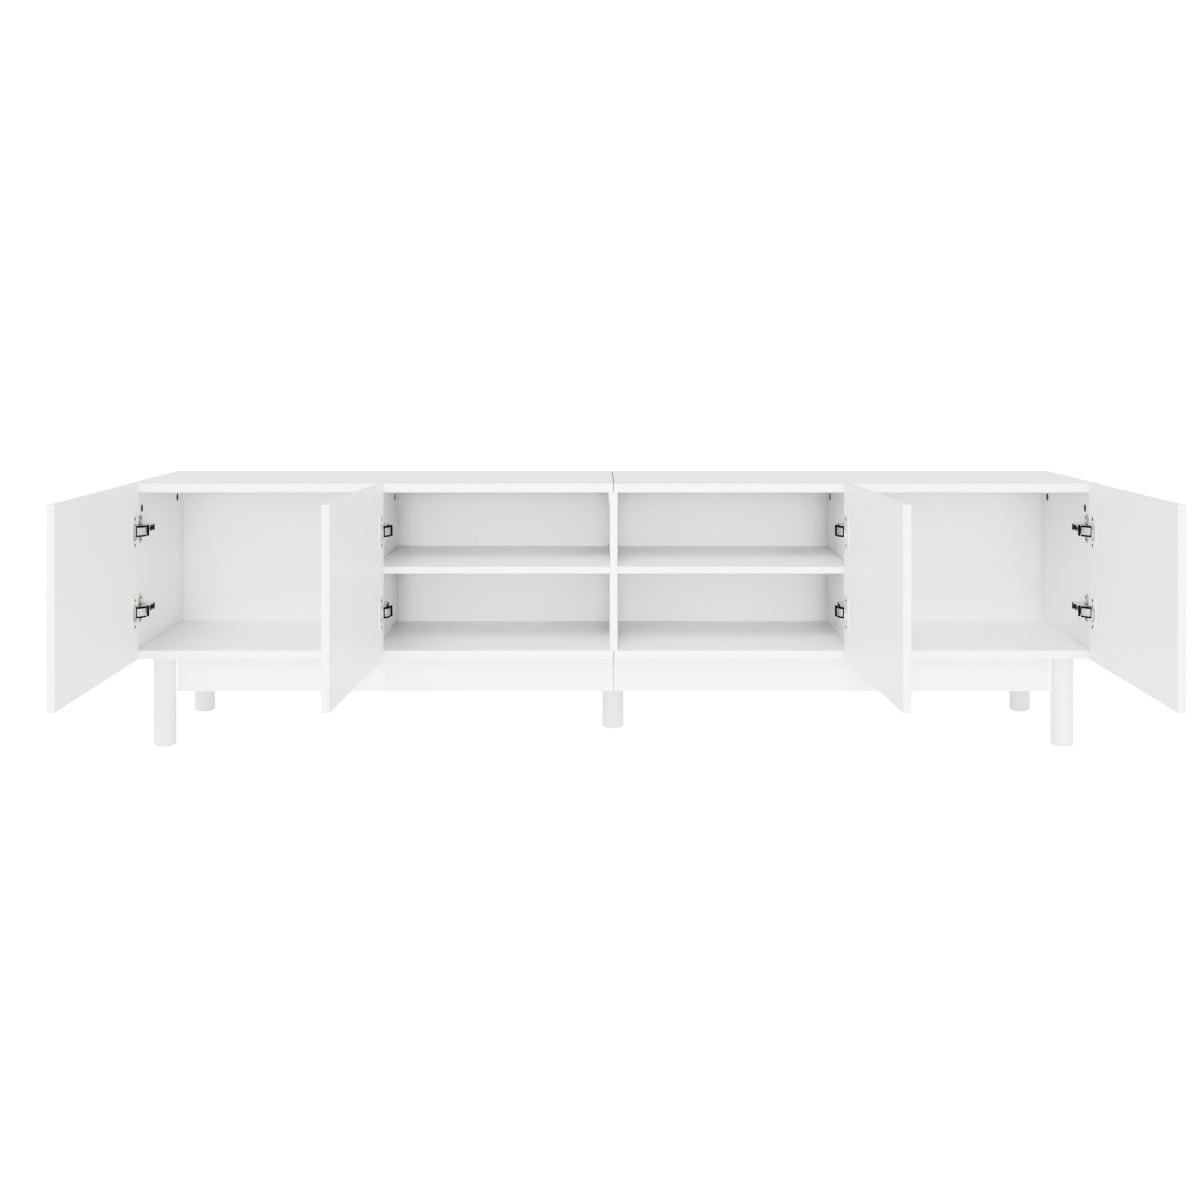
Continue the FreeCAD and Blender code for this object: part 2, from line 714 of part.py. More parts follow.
def arm_hollow(reference, face):
    """The side view of the space inside the arm, running out past its panel side, rear and tip."""
    across, deep = LEVER_PIVOT
    lowest = face - ARM_HOLLOW_PAST
    rear = ARM_REAR + ARM_HOLLOW_PAST
    front = deep - ARM_TIP_RADIUS - ARM_HOLLOW_PAST
    widest = across + ARM_TIP_RADIUS + ARM_HOLLOW_PAST
    mouth = deep + ARM_MOUTH
    high = face + ARM_RISE - ARM_SHEET
    points = [(lowest, rear), (lowest, front), (widest, front), (widest, mouth),
              (across + ARM_TIP_RADIUS - ARM_SHEET, mouth), (high, ARM_STRAIGHT), (high, rear)]
    return [(reference + x, FRONT + y) for x, y in points]


def hinge_arms(reference, face):
    """Each arm is a folded channel, open towards the panel and at its tip."""
    across, deep = LEVER_PIVOT
    outline = arm_outline(reference, face)
    space = arm_hollow(reference, face)
    screws = arm_screws(reference, face)
    half = ARM_HALF_HEIGHT - ARM_SHEET
    solids = []
    for height in HINGE_HEIGHTS:
        outside = plan_prism(outline, height - ARM_HALF_HEIGHT, height + ARM_HALF_HEIGHT)
        hollow = plan_prism(space, height - half, height + half)
        pin_start = hinge_point(reference, across, deep, height - ARM_HALF_HEIGHT - CUT_PAST)
        pin_hole = rod(PIN_RADIUS, pin_start, Z_AXIS, 2 * (ARM_HALF_HEIGHT + CUT_PAST))
        solids.append(cut_all(outside.cut(hollow).cut(pin_hole), screws))
    return solids


def lever_pins(reference):
    across, deep = LEVER_PIVOT
    length = 2 * (ARM_HALF_HEIGHT + PIN_PROUD)
    solids = []
    for height in HINGE_HEIGHTS:
        start = hinge_point(reference, across, deep, height - length / 2)
        solids.append(rod(PIN_RADIUS, start, Z_AXIS, length))
    return solids


def levers(reference, rest_angle, ratio):
    """The two levers of one door, in its rest position. Their turn is a fixed ratio of the door's."""
    across, deep = LEVER_PIVOT
    turn = LEVER_CLOSED_ANGLE + ratio * rest_angle
    half = LEVER_SHEET / 2
    solids = []
    for height in HINGE_HEIGHTS:
        low = height - LEVER_HALF_HEIGHT
        full = 2 * LEVER_HALF_HEIGHT
        start = hinge_point(reference, across, deep, low)
        thickness = (start.y - half, start.y + half)
        bar = box((start.x, start.x + LEVER_LENGTH - half), thickness, (low, low + full))
        eye = rod(LEVER_EYE_RADIUS, start, Z_AXIS, full)
        roll = rod(half, start + V(LEVER_LENGTH - half, 0, 0), Z_AXIS, full)
        lever = bar.fuse([eye, roll]).cut(rod(PIN_RADIUS + PIN_PLAY, start, Z_AXIS, full))
        lever.rotate(start, Z_AXIS, turn)
        solids.append(lever)
    return solids


# doors, built closed and then opened

def door_pivot(reference, reveal, forward):
    return hinge_point(reference, pivot_across(reveal, forward), -forward)


def opened(shapes, reference, reveal, forward, angle):
    pivot = door_pivot(reference, reveal, forward)
    for shape in shapes:
        shape.rotate(pivot, Z_AXIS, -angle)
    return shapes


def cup_centres(reference, reveal):
    across = reveal + CUP_EDGE_DISTANCE
    return [hinge_point(reference, across, -DOOR_GAP, height) for height in HINGE_HEIGHTS]


def door_panel(reference, reveal):
    low = reference + reveal
    deep = (FRONT - DOOR_GAP - DOOR_BOARD, FRONT - DOOR_GAP)
    panel = board_blank((low, low + DOOR_WIDTH), deep, (DOOR_BOTTOM, DOOR_BOTTOM + DOOR_HEIGHT))
    holes = [rod(CUP_RADIUS, centre + Y_AXIS * CUT_PAST, INTO_DOOR, CUP_DEPTH + CUT_PAST)
             for centre in cup_centres(reference, reveal)]
    return [cut_all(panel, holes + cup_screws(reference, reveal))]


def hinge_cups(reference, reveal):
    """A drawn cup with a tall flange that lies on the door's inner face."""
    flange_size = V(FLANGE_WIDTH, FLANGE_THICKNESS, FLANGE_HEIGHT)
    solids = []
    for centre in cup_centres(reference, reveal):
        cup = rod(CUP_RADIUS, centre, INTO_DOOR, CUP_DEPTH)
        flange = rounded_block(centre + Y_AXIS * (FLANGE_THICKNESS / 2), flange_size, Y_AXIS, FLANGE_CORNER)
        mouth = centre + Y_AXIS * (FLANGE_THICKNESS + CUT_PAST)
        inside = rod(CUP_RADIUS - CUP_WALL, mouth, INTO_DOOR, mouth.y - centre.y + CUP_DEPTH - CUP_WALL)
        solids.append(cut_all(cup.fuse(flange).cut(inside), cup_screws(reference, reveal)))
    return solids


def cup_screws(reference, reveal, recess=False):
    screws = []
    for centre in cup_centres(reference, reveal):
        for side in (-1, 1):
            tip = centre + V(0, -CUP_SCREW_BITE, side * CUP_SCREW_SPACING / 2)
            screws.append(flat_head_screw(tip, Y_AXIS, CUP_SCREW_BITE + FLANGE_THICKNESS, recess))
    return screws


def door_set(kind):
    """Everything that turns with one left-hand door, with its levers."""
    if kind == "outer":
        place = (-HALF, OUTER_REVEAL, OUTER_PIVOT_FORWARD, OUTER_REST_ANGLE)
        ratio = OUTER_LEVER_RATIO
    else:
        place = (-PARTITION_X, INNER_REVEAL, INNER_PIVOT_FORWARD, INNER_REST_ANGLE)
        ratio = INNER_LEVER_RATIO
    reference, reveal, forward, angle = place
    return {
        "door": opened(door_panel(reference, reveal), *place),
        "hinge_cups": opened(hinge_cups(reference, reveal), *place),
        "cup_screws": opened(cup_screws(reference, reveal, True), *place),
        "hinge_levers": levers(reference, angle, ratio),
    }


def save(name, shapes):
    if not isinstance(shapes, list):
        shapes = [shapes]
    shape = shapes[0] if len(shapes) == 1 else Part.makeCompound(shapes)
    if shape.ShapeType == "Compound" and len(shape.Solids) == 1:
        shape = shape.Solids[0]
    shape.exportStep(os.path.join("parts", name + ".step"))


def save_pair(name, shape):
    save(name + "_left", shape)
    save(name + "_right", mirrored(shape))


def save_boards():
    top = top_board_left()
    save("top_board_left", cut_all(top, bracket_board_screws()))
    save("top_board_right", cut_all(mirrored(top), bracket_board_screws()))
    save_pair("bottom_board", bottom_board_left())
    save_pair("side_panel", side_panel_left())
    save_pair("partition", partition_left())
    save("centre_panel", centre_panel())
    save_pair("shelf", shelf_left())
    outer, inner = bay_limits()
    save_pair("back_panel_outer", back_panel(outer))
    save_pair("back_panel_inner", back_panel(inner))
    save_pair("apron", apron_left())


def save_legs():
    front, rear = corner_leg_places()
    save_pair("leg_front", leg(front[0], front[1], BODY_BOTTOM))
    save_pair("leg_rear", leg(rear[0], rear[1], BODY_BOTTOM))
    under_plate = BODY_BOTTOM - CENTRE_PLATE_SIZE[2]
    save("leg_centre", leg(0, 0, under_plate))
    corners = [front, rear]
    glides = both_sides([leg_glide(x, y) for x, y in corners])
    save("leg_glides", glides + [leg_glide(0, 0)])
    bolts = both_sides([hanger_bolt(x, y, BODY_BOTTOM, INSERT_LENGTH) for x, y in corners])
    save("leg_hanger_bolts", bolts + [hanger_bolt(0, 0, under_plate, CENTRE_PLATE_SIZE[2])])
    save("leg_insert_nuts", both_sides([insert_nut(x, y) for x, y in corners]))
    save("centre_leg_plate", centre_plate())


def save_fasteners():
    save("cam_locks", both_sides(cam_lock_solids()))
    save("cam_bolts", both_sides(cam_bolt_solids()))
    save("dowels", both_sides(dowel_solids()))
    sockets = screw_sockets()
    save("panel_screws", both_sides([cut_all(screw, sockets) for screw in panel_screw_solids()]))
    save("shelf_pins", both_sides(shelf_pin_solids()))
    save("corner_brackets", top_brackets() + both_sides(apron_brackets()))
    bracket_screws = bracket_board_screws(True) + bracket_panel_screws(True)
    save("bracket_screws", bracket_screws + both_sides(apron_screws(True) + apron_board_screws(True)))
    save("seam_plates", seam_plates())
    places = seam_plate_screw_places()
    plate_screws_left = screws_up(places, SEAM_PLATE_SIZE[2], True)
    plate_screws_left += screws_up(centre_plate_screw_places(), CENTRE_PLATE_SIZE[2], True)
    save("seam_plate_screws", both_sides(plate_screws_left))
    save("seam_long_screws", seam_long_screws(True))


def save_hinges():
    places = ((-HALF, INNER_BOARD), (-PARTITION_X, INNER_BOARD / 2))
    groups = {"hinge_mounting_plates": [], "hinge_plate_screws": [], "hinge_arms": [],
              "hinge_arm_screws": [], "hinge_lever_pins": []}
    for reference, face in places:
        groups["hinge_mounting_plates"] += mounting_plates(reference, face)
        groups["hinge_plate_screws"] += plate_screws(reference, face, True)
        groups["hinge_arms"] += hinge_arms(reference, face)
        groups["hinge_arm_screws"] += arm_screws(reference, face)
        groups["hinge_lever_pins"] += lever_pins(reference)
    for name, shapes in groups.items():
        save(name, both_sides(shapes))


def save_doors():
    for kind in ("outer", "inner"):
        for part, shapes in door_set(kind).items():
            save(f"{part}_{kind}_left", shapes)
            save(f"{part}_{kind}_right", [mirrored(shape) for shape in shapes])


def main():
    os.makedirs("parts", exist_ok=True)
    save_boards()
    save_legs()
    save_fasteners()
    save_hinges()
    save_doors()
    outer = door_pivot(-HALF, OUTER_REVEAL, OUTER_PIVOT_FORWARD)
    inner = door_pivot(-PARTITION_X, INNER_REVEAL, INNER_PIVOT_FORWARD)
    print("door pivots, outer and inner:", outer, inner)


main()
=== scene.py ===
"""The looks of a white flat-pack TV stand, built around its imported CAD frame.

The CAD nodes keep their shapes and get procedural materials. Each hinge gets small extra parts that ride its
lever and the cabinet. Metres, +X right, -Y front, +Z up; hinge outlines are in millimetres.
"""
import json
import math

import bmesh
import bpy
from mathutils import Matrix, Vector


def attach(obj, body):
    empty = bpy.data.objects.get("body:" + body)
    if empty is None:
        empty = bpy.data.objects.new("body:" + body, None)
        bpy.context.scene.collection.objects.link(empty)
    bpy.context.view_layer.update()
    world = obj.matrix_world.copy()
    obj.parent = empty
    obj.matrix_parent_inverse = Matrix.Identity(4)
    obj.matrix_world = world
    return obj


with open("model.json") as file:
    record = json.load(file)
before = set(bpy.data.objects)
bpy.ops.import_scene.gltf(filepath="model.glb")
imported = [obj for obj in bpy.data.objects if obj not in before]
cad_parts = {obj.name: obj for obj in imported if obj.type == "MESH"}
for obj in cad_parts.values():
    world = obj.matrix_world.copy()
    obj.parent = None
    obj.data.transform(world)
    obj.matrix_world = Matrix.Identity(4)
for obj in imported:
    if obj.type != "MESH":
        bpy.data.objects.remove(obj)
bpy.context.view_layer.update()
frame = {"nodes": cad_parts, "record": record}

MM = 0.001
SIDES = ("left", "right")


# ---------------------------------------------------------------- shader pieces

def blank_material(name):
    material = bpy.data.materials.new(name)
    material.use_nodes = True
    tree = material.node_tree
    shader = tree.nodes["Principled BSDF"]
    return material, tree, shader


def object_coordinates(tree):
    return tree.nodes.new("ShaderNodeTexCoord").outputs["Object"]


def noise(tree, coordinates, scale, detail=3.0, roughness=0.5, stretch=None):
    """A noise value from 0 to 1. scale is in features per metre; stretch scales the axes apart."""
    if stretch:
        mapping = tree.nodes.new("ShaderNodeMapping")
        mapping.inputs["Scale"].default_value = stretch
        tree.links.new(coordinates, mapping.inputs["Vector"])
        coordinates = mapping.outputs["Vector"]
    node = tree.nodes.new("ShaderNodeTexNoise")
    node.inputs["Scale"].default_value = scale
    node.inputs["Detail"].default_value = detail
    node.inputs["Roughness"].default_value = roughness
    tree.links.new(coordinates, node.inputs["Vector"])
    return node.outputs["Fac"]


def remap(tree, value, low, high, to_low, to_high):
    node = tree.nodes.new("ShaderNodeMapRange")
    node.inputs["From Min"].default_value = low
    node.inputs["From Max"].default_value = high
    node.inputs["To Min"].default_value = to_low
    node.inputs["To Max"].default_value = to_high
    tree.links.new(value, node.inputs["Value"])
    return node.outputs["Result"]


def fade_in(tree, value, low, high, strength=1.0):
    """0 up to low, and strength from high on."""
    return remap(tree, value, low, high, 0.0, strength)


def fade_out(tree, value, low, high):
    """1 up to low, and 0 from high on."""
    return remap(tree, value, low, high, 1.0, 0.0)


def mix_colours(tree, factor, first, second):
    node = tree.nodes.new("ShaderNodeMix")
    node.data_type = "RGBA"
    tree.links.new(factor, node.inputs["Factor"])
    for socket, colour in ((node.inputs["A"], first), (node.inputs["B"], second)):
        if isinstance(colour, tuple):
            socket.default_value = (*colour, 1.0)
        else:
            tree.links.new(colour, socket)
    return node.outputs["Result"]


def darker(colour, share):
    return tuple(share * channel for channel in colour)


def bump(tree, height, distance, strength, below=None):
    node = tree.nodes.new("ShaderNodeBump")
    node.inputs["Distance"].default_value = distance
    node.inputs["Strength"].default_value = strength
    tree.links.new(height, node.inputs["Height"])
    if below:
        tree.links.new(below, node.inputs["Normal"])
    return node.outputs["Normal"]


def component(tree, vector, axis):
    node = tree.nodes.new("ShaderNodeSeparateXYZ")
    tree.links.new(vector, node.inputs["Vector"])
    return node.outputs[axis]


def combine(tree, operation, *values):
    node = tree.nodes.new("ShaderNodeMath")
    node.operation = operation
    for socket, value in zip(node.inputs, values):
        tree.links.new(value, socket)
    return node.outputs[0]


def edge_mask(tree, face_axis):
    """1 on a board's narrow edges and 0 on its two broad faces, from the way the surface looks."""
    facing = tree.nodes.new("ShaderNodeTexCoord").outputs["Normal"]
    towards = combine(tree, "ABSOLUTE", component(tree, facing, face_axis))
    return fade_out(tree, towards, EDGE_FROM, FACE_FROM)


def seam_mask(tree, where):
    """1 on the painted shadow line where the two halves of the stand meet, and 0 elsewhere."""
    distance = combine(tree, "ABSOLUTE", component(tree, where, "X"))
    return fade_out(tree, distance, SEAM_HALF, SEAM_END)


# ---------------------------------------------------------------- materials

EDGE_FROM, FACE_FROM = 0.45, 0.75      # how squarely a surface looks along the board's face axis
# the painted shadow line down the seam between the two halves: its half width, where it fades out, and its
# colour
SEAM_HALF = 0.0008
SEAM_END = 1.5 * SEAM_HALF
SEAM_SHADOW_TONE = (0.16, 0.16, 0.16)

# one white melamine throughout; the top, door and apron whites are set darker, as painted shade against the
# stronger light on them
BOARD_WHITE = 0.955
TOP_SHADED_WHITE = 0.93
DOOR_SHADED_WHITE = 0.905
APRON_SHADED_WHITE = 0.90
BOARD_SPECULAR = 0.45


def melamine(name, white, gloss=(0.34, 0.46), face_axis="Z", seam=False):
    """White melamine-faced board: faint clouding in tone and sheen, a fine pearl emboss, and streaked edge
    bands painted a little darker as shade.
    """
    tone = (white, white, white - 0.002)
    shade = (white - 0.015, white - 0.014, white - 0.016)
    material, tree, shader = blank_material(name)
    where = object_coordinates(tree)

    clouds = noise(tree, where, scale=5.0, detail=4.0, roughness=0.55)
    base = mix_colours(tree, fade_in(tree, clouds, 0.35, 0.65), tone, shade)
    speckle = noise(tree, where, scale=420.0, detail=2.0, roughness=0.6)
    flecks = fade_in(tree, speckle, 0.62, 0.78, strength=0.35)
    flecked = mix_colours(tree, flecks, base, darker(shade, 0.95))
    # narrow edges: streaked banding, painted 2.5 to 5 per cent darker as shade
    streaks = noise(tree, where, scale=60.0, detail=3.0, roughness=0.6, stretch=(0.25, 1.0, 1.0))
    shaded_edge_band = mix_colours(tree, streaks, darker(tone, 0.975), darker(tone, 0.95))
    colour = mix_colours(tree, edge_mask(tree, face_axis), flecked, shaded_edge_band)
    # boards on the seam get a painted shadow line down the middle
    if seam:
        colour = mix_colours(tree, seam_mask(tree, where), colour, SEAM_SHADOW_TONE)
    tree.links.new(colour, shader.inputs["Base Color"])

    sheen = noise(tree, where, scale=38.0, detail=4.0, roughness=0.6)
    tree.links.new(remap(tree, sheen, 0.3, 0.7, *gloss), shader.inputs["Roughness"])
    wave = noise(tree, where, scale=16.0, detail=2.0, roughness=0.4)
    broad = bump(tree, wave, distance=0.0006, strength=0.06)
    emboss = noise(tree, where, scale=900.0, detail=3.0, roughness=0.55)
    tree.links.new(bump(tree, emboss, distance=0.00006, strength=0.35, below=broad), shader.inputs["Normal"])
    shader.inputs["Specular IOR Level"].default_value = BOARD_SPECULAR
    return material


def hardboard(name):
    """The back panels: thin painted fibreboard with a faint fibre texture."""
    material, tree, shader = blank_material(name)
    where = object_coordinates(tree)
    clouds = noise(tree, where, scale=4.0, detail=3.0, roughness=0.5)
    base = mix_colours(tree, fade_in(tree, clouds, 0.35, 0.65), (0.90, 0.90, 0.898), (0.885, 0.886, 0.885))
    fibres = noise(tree, where, scale=140.0, detail=5.0, roughness=0.65, stretch=(1.0, 1.0, 2.2))
    mottle = fade_in(tree, fibres, 0.55, 0.75, strength=0.4)
    tree.links.new(mix_colours(tree, mottle, base, (0.86, 0.86, 0.86)), shader.inputs["Base Color"])
    tree.links.new(remap(tree, fibres, 0.3, 0.7, 0.5, 0.64), shader.inputs["Roughness"])
    tree.links.new(bump(tree, fibres, distance=0.0001, strength=0.3), shader.inputs["Normal"])
    return material


DUST_HEIGHT = 0.03
LEG_COAT = 0.15
LEG_COAT_ROUGHNESS = 0.25


def leg_paint(name):
    """Sprayed satin paint on a turned leg: orange peel and a trace of dust near the foot."""
    material, tree, shader = blank_material(name)
    where = object_coordinates(tree)
    foot = fade_out(tree, component(tree, where, "Z"), 0.0, DUST_HEIGHT)
    patch = noise(tree, where, scale=90.0, detail=4.0, roughness=0.6)
    dust = combine(tree, "MULTIPLY", foot, fade_in(tree, patch, 0.4, 0.7, strength=0.5))
    clouds = noise(tree, where, scale=9.0, detail=3.0, roughness=0.5)
    base = mix_colours(tree, clouds, (0.78, 0.78, 0.778), (0.755, 0.756, 0.755))
    tree.links.new(mix_colours(tree, dust, base, (0.68, 0.675, 0.66)), shader.inputs["Base Color"])
    tree.links.new(remap(tree, patch, 0.3, 0.7, 0.3, 0.42), shader.inputs["Roughness"])
    peel = noise(tree, where, scale=330.0, detail=2.0, roughness=0.45)
    tree.links.new(bump(tree, peel, distance=0.0001, strength=0.3), shader.inputs["Normal"])
    shader.inputs["Coat Weight"].default_value = LEG_COAT
    shader.inputs["Coat Roughness"].default_value = LEG_COAT_ROUGHNESS
    return material


DRAWN_GRAIN = (1.0, 1.0, 0.08)
CAST_GRAIN = (1.0, 1.0, 1.0)


def plated_steel(name, bright, dull, gloss, grain=DRAWN_GRAIN, grain_scale=1500.0):
    """Plated metal: drawn or cast grain, cloudy plating and duller patches."""
    material, tree, shader = blank_material(name)
    where = object_coordinates(tree)
    patches = noise(tree, where, scale=160.0, detail=5.0, roughness=0.65)
    plating = mix_colours(tree, fade_in(tree, patches, 0.4, 0.72), bright, dull)
    tree.links.new(plating, shader.inputs["Base Color"])
    tree.links.new(remap(tree, patches, 0.3, 0.75, *gloss), shader.inputs["Roughness"])
    lines = noise(tree, where, scale=grain_scale, detail=3.0, roughness=0.6, stretch=grain)
    tree.links.new(bump(tree, lines, distance=0.00003, strength=0.35), shader.inputs["Normal"])
    shader.inputs["Metallic"].default_value = 1.0
    return material


def moulded_plastic(name, tone, gloss):
    material, tree, shader = blank_material(name)
    where = object_coordinates(tree)
    clouds = noise(tree, where, scale=60.0, detail=3.0, roughness=0.5)
    tree.links.new(mix_colours(tree, clouds, tone, darker(tone, 0.93)), shader.inputs["Base Color"])
    grain = noise(tree, where, scale=1100.0, detail=3.0, roughness=0.6)
    tree.links.new(remap(tree, grain, 0.3, 0.7, *gloss), shader.inputs["Roughness"])
    tree.links.new(bump(tree, grain, distance=0.00005, strength=0.4), shader.inputs["Normal"])
    return material


def beech(name):
    """Turned beech dowel: long grain with short dark flecks."""
    material, tree, shader = blank_material(name)
    where = object_coordinates(tree)
    grain = noise(tree, where, scale=900.0, detail=4.0, roughness=0.6, stretch=(1.0, 1.0, 0.06))
    base = mix_colours(tree, grain, (0.70, 0.50, 0.31), (0.55, 0.36, 0.20))
    speckle = noise(tree, where, scale=2600.0, detail=2.0, roughness=0.5, stretch=(1.0, 1.0, 0.2))
    flecks = fade_in(tree, speckle, 0.6, 0.75, strength=0.7)
    tree.links.new(mix_colours(tree, flecks, base, (0.38, 0.23, 0.12)), shader.inputs["Base Color"])
    tree.links.new(remap(tree, grain, 0.3, 0.7, 0.55, 0.7), shader.inputs["Roughness"])
    tree.links.new(bump(tree, grain, distance=0.0001, strength=0.4), shader.inputs["Normal"])
    return material


FLAT_BOARD = melamine("flat_board_melamine", BOARD_WHITE)
UPRIGHT_BOARD = melamine("upright_board_melamine", BOARD_WHITE, face_axis="X")
SHELF_BOARD = melamine("shelf_melamine", BOARD_WHITE, gloss=(0.36, 0.5))
BOTTOM_BOARD = melamine("bottom_board_melamine", BOARD_WHITE, seam=True)
# the top, apron and door copies take the darker whites, which are painted shade
TOP_BOARD = melamine("top_board_melamine", TOP_SHADED_WHITE, gloss=(0.3, 0.4), seam=True)
APRON_BOARD = melamine("apron_melamine", APRON_SHADED_WHITE, face_axis="Y", seam=True)
DOOR_BOARD = melamine("door_melamine", DOOR_SHADED_WHITE, gloss=(0.3, 0.42), face_axis="X")
BACK_BOARD = hardboard("painted_hardboard")
LEG_PAINT = leg_paint("leg_paint")
NICKEL = plated_steel("nickel_plate", (0.80, 0.79, 0.77), (0.70, 0.69, 0.67), gloss=(0.34, 0.5))
CUP_NICKEL = plated_steel("cup_nickel_plate", (0.93, 0.925, 0.91), (0.86, 0.855, 0.84), gloss=(0.5, 0.65))
LINK_NICKEL = plated_steel("link_nickel_plate", (0.66, 0.655, 0.645), (0.56, 0.555, 0.545), gloss=(0.3, 0.42))
# near-black steel for the levers, rivets and slides, and for the sheets behind the link hoods, which are
# painted shade
DARK_STEEL_AND_SHADE = plated_steel("dark_steel_and_painted_shade", (0.045, 0.045, 0.047), (0.03, 0.03, 0.032), gloss=(0.35, 0.55))
SCREW_STEEL = plated_steel("screw_steel", (0.14, 0.14, 0.14), (0.08, 0.08, 0.08), gloss=(0.3, 0.5))
ZINC = plated_steel("zinc_plate", (0.66, 0.67, 0.69), (0.50, 0.51, 0.53), gloss=(0.28, 0.48))
CAM_ZINC = plated_steel("cam_casting", (0.30, 0.30, 0.31), (0.20, 0.20, 0.21), gloss=(0.4, 0.6),
                        grain=CAST_GRAIN, grain_scale=900.0)
GLIDE_PLASTIC = moulded_plastic("glide_plastic", (0.80, 0.80, 0.79), gloss=(0.45, 0.6))
BEECH = beech("beech_dowel")

SLOT_MATERIAL = {
    "white_board": FLAT_BOARD, "shelf_board": SHELF_BOARD, "door_board": DOOR_BOARD, "back_board": BACK_BOARD,
    "leg_paint": LEG_PAINT, "nickel_steel": NICKEL, "zinc_steel": ZINC, "cam_zinc": CAM_ZINC,
    "dowel_wood": BEECH, "glide_plastic": GLIDE_PLASTIC,
}
NODE_MATERIAL = {        # by the start of the node's name, before its slot's material
    "side_panel": UPRIGHT_BOARD, "partition": UPRIGHT_BOARD, "centre_panel": UPRIGHT_BOARD,
    "top_board": TOP_BOARD, "bottom_board": BOTTOM_BOARD, "apron": APRON_BOARD,
    "hinge_arm_screws": SCREW_STEEL, "hinge_plate_screws": SCREW_STEEL, "cup_screws": SCREW_STEEL,
    "hinge_cups": CUP_NICKEL, "hinge_lever": DARK_STEEL_AND_SHADE, "hinge_mounting_plates": LINK_NICKEL,
}
SLOT_OF = {part["node"]: part["material_slot"] for part in frame["record"]["subparts"]}


def paint_nodes():
    """Each CAD node takes its own material or its slot's."""
    for name, node in frame["nodes"].items():
        own = [material for start, material in NODE_MATERIAL.items() if name.startswith(start)]
        node.data.materials.clear()
        node.data.materials.append(own[0] if own else SLOT_MATERIAL[SLOT_OF[name]])


# ---------------------------------------------------------------- hinge pieces, in millimetres

FRONT = -175.0                       # the cabinet's front edges, in Y
HINGE_HEIGHTS = (253.5, 402.5)
HINGE_KINDS = {          # panel edge, panel face above it, link angle with the doors open
    "outer": (-900.0, 13.0, math.radians(239.5)),
    "inner": (-450.0, 6.5, math.radians(255.7)),
}
LINK_PIVOT = (33.0, -6.0)            # from the panel's edge and from the front
LINK_HOOD = [(-1.2, 3.8), (-1.2, 5.2), (2.5, 5.9), (8.0, 5.2), (14.0, 3.2), (18.0, 1.2), (17.6, -0.2),
             (9.0, 1.15), (4.2, 1.15), (3.4, 2.4), (1.6, 3.6)]
# a dark sheet a little larger than the hood, set behind it: painted shade that outlines the hood
LINK_SHADOW_LINER = [(-1.6, 3.9), (-1.6, 4.9), (2.6, 5.5), (8.0, 4.8), (14.0, 2.8), (18.6, 0.9), (18.4, -0.6),
               (9.0, 1.2), (4.3, 1.2), (3.5, 2.5), (1.7, 3.7)]
ARM_NOSE = [(36.4, 0.4), (39.0, 0.4), (40.4, 2.0), (40.0, 5.0), (33.0, 21.0), (31.2, 21.0), (31.2, 17.6),
            (35.4, 3.0)]
HOOD_HALF = 7.2
LINER_AND_RIVET_HALF = 9.9
NOSE_HALF = 6.4
RIVET_RADIUS = 1.9
RIVET_PLACE = (38.4, 2.0)
RIVET_SIDES = 12
ARM_RISE = 18.0                      # the arm's outer face above the panel's
SLIDE_SINK = 0.1
SLIDE_SIZES = ((42.0, 68.0, 2.2, 0.5), (63.0, 68.0, 5.6, 1.0), (44.0, 48.0, 5.2, 0.9))
SHEET_BEVEL = 0.35
LINER_AND_RIVET_BEVEL = 0.2
SLIDE_BEVEL = 0.15
BEVEL_STEPS = 2
ROUND_PROFILE = 0.5


def prism(name, outline, low, high, mirror, bevel, material):
    """A piece from an outline in plan, between two heights, with all its corners eased."""
    shape = bmesh.new()
    sign = -1.0 if mirror else 1.0
    base = [shape.verts.new((sign * x * MM, y * MM, low * MM)) for x, y in outline]
    floor = shape.faces.new(base)
    lifted = bmesh.ops.extrude_face_region(shape, geom=[floor])
    moved = [item for item in lifted["geom"] if isinstance(item, bmesh.types.BMVert)]
    bmesh.ops.translate(shape, verts=moved, vec=(0, 0, (high - low) * MM))
    bmesh.ops.recalc_face_normals(shape, faces=shape.faces)
    bmesh.ops.bevel(shape, geom=shape.edges[:], offset=bevel * MM, segments=BEVEL_STEPS, profile=ROUND_PROFILE,
                    affect="EDGES", clamp_overlap=True)
    mesh = bpy.data.meshes.new(name)
    shape.to_mesh(mesh)
    shape.free()
    mesh.materials.append(material)
    piece = bpy.data.objects.new(name, mesh)
    bpy.context.scene.collection.objects.link(piece)
    return piece


def turned(points, origin, angle):
    """Points given along and beside a link, moved to its pivot and turned to its angle."""
    along = (math.cos(angle), math.sin(angle))
    beside = (-math.sin(angle), math.cos(angle))
    return [(origin[0] + u * along[0] + v * beside[0], origin[1] + u * along[1] + v * beside[1])
            for u, v in points]


def shifted(points, reference):
    return [(reference + across, FRONT + deep) for across, deep in points]


def rivet_outline():
    turns = [math.tau * step / RIVET_SIDES for step in range(RIVET_SIDES)]
    return [(RIVET_PLACE[0] + RIVET_RADIUS * math.cos(turn), RIVET_PLACE[1] + RIVET_RADIUS * math.sin(turn))
            for turn in turns]


def slide_outline(top, near, far, thickness):
    """A thin plate on the arm's outer face, given by its near and far ends and its thickness."""
    return [(top - SLIDE_SINK, FRONT + near), (top + thickness, FRONT + near), (top + thickness, FRONT + far),
            (top - SLIDE_SINK, FRONT + far)]


